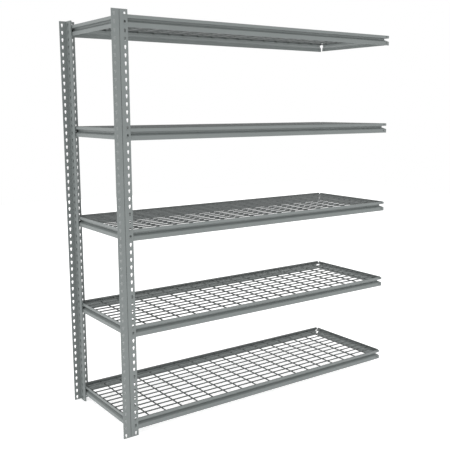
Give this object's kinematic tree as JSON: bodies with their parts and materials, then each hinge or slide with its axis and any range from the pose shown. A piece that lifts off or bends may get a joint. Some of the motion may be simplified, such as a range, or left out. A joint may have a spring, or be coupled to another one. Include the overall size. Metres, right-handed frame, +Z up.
{
  "type": "boltless shelving bay",
  "caption": "Add-on bay of boltless steel shelving: two keyholed tee posts on the left, levels of riveted beams hooked into them, and a lift-out welded wire deck on each level.",
  "frame": {"origin": "on the floor under the centre of the whole bay", "axes": "+Z up along the posts, +X along the shelves away from the posts, +Y from front to rear"},
  "size_m": [1.8892, 0.6286, 2.1336],
  "materials": {
    "painted_sheet": "semi-gloss baked enamel, medium grey",
    "wire_deck": "semi-gloss powder coat, medium grey"
  },
  "bodies": {
    "frame": {"front_post": "painted_sheet", "rear_post": "painted_sheet", "front_beam_1": "painted_sheet", "front_beam_2": "painted_sheet", "front_beam_3": "painted_sheet", "front_beam_4": "painted_sheet", "front_beam_5": "painted_sheet", "rear_beam_1": "painted_sheet", "rear_beam_2": "painted_sheet", "rear_beam_3": "painted_sheet", "rear_beam_4": "painted_sheet", "rear_beam_5": "painted_sheet", "left_beam_1": "painted_sheet", "left_beam_2": "painted_sheet", "left_beam_3": "painted_sheet", "left_beam_4": "painted_sheet", "left_beam_5": "painted_sheet", "right_beam_1": "painted_sheet", "right_beam_2": "painted_sheet", "right_beam_3": "painted_sheet", "right_beam_4": "painted_sheet", "right_beam_5": "painted_sheet"},
    "deck_1": {"wire_deck_1": "wire_deck"},
    "deck_2": {"wire_deck_2": "wire_deck"},
    "deck_3": {"wire_deck_3": "wire_deck"},
    "deck_4": {"wire_deck_4": "wire_deck"},
    "deck_5": {"wire_deck_5": "wire_deck"}
  },
  "joints": [
    {"name": "deck_lift_1", "type": "slide", "parent": "frame", "child": "deck_1", "axis": [0, 0, 1], "range_m": [0, 0.4]},
    {"name": "deck_lift_2", "type": "slide", "parent": "frame", "child": "deck_2", "axis": [0, 0, 1], "range_m": [0, 0.4]},
    {"name": "deck_lift_3", "type": "slide", "parent": "frame", "child": "deck_3", "axis": [0, 0, 1], "range_m": [0, 0.4]},
    {"name": "deck_lift_4", "type": "slide", "parent": "frame", "child": "deck_4", "axis": [0, 0, 1], "range_m": [0, 0.4]},
    {"name": "deck_lift_5", "type": "slide", "parent": "frame", "child": "deck_5", "axis": [0, 0, 1], "range_m": [0, 0.4]}
  ]
}
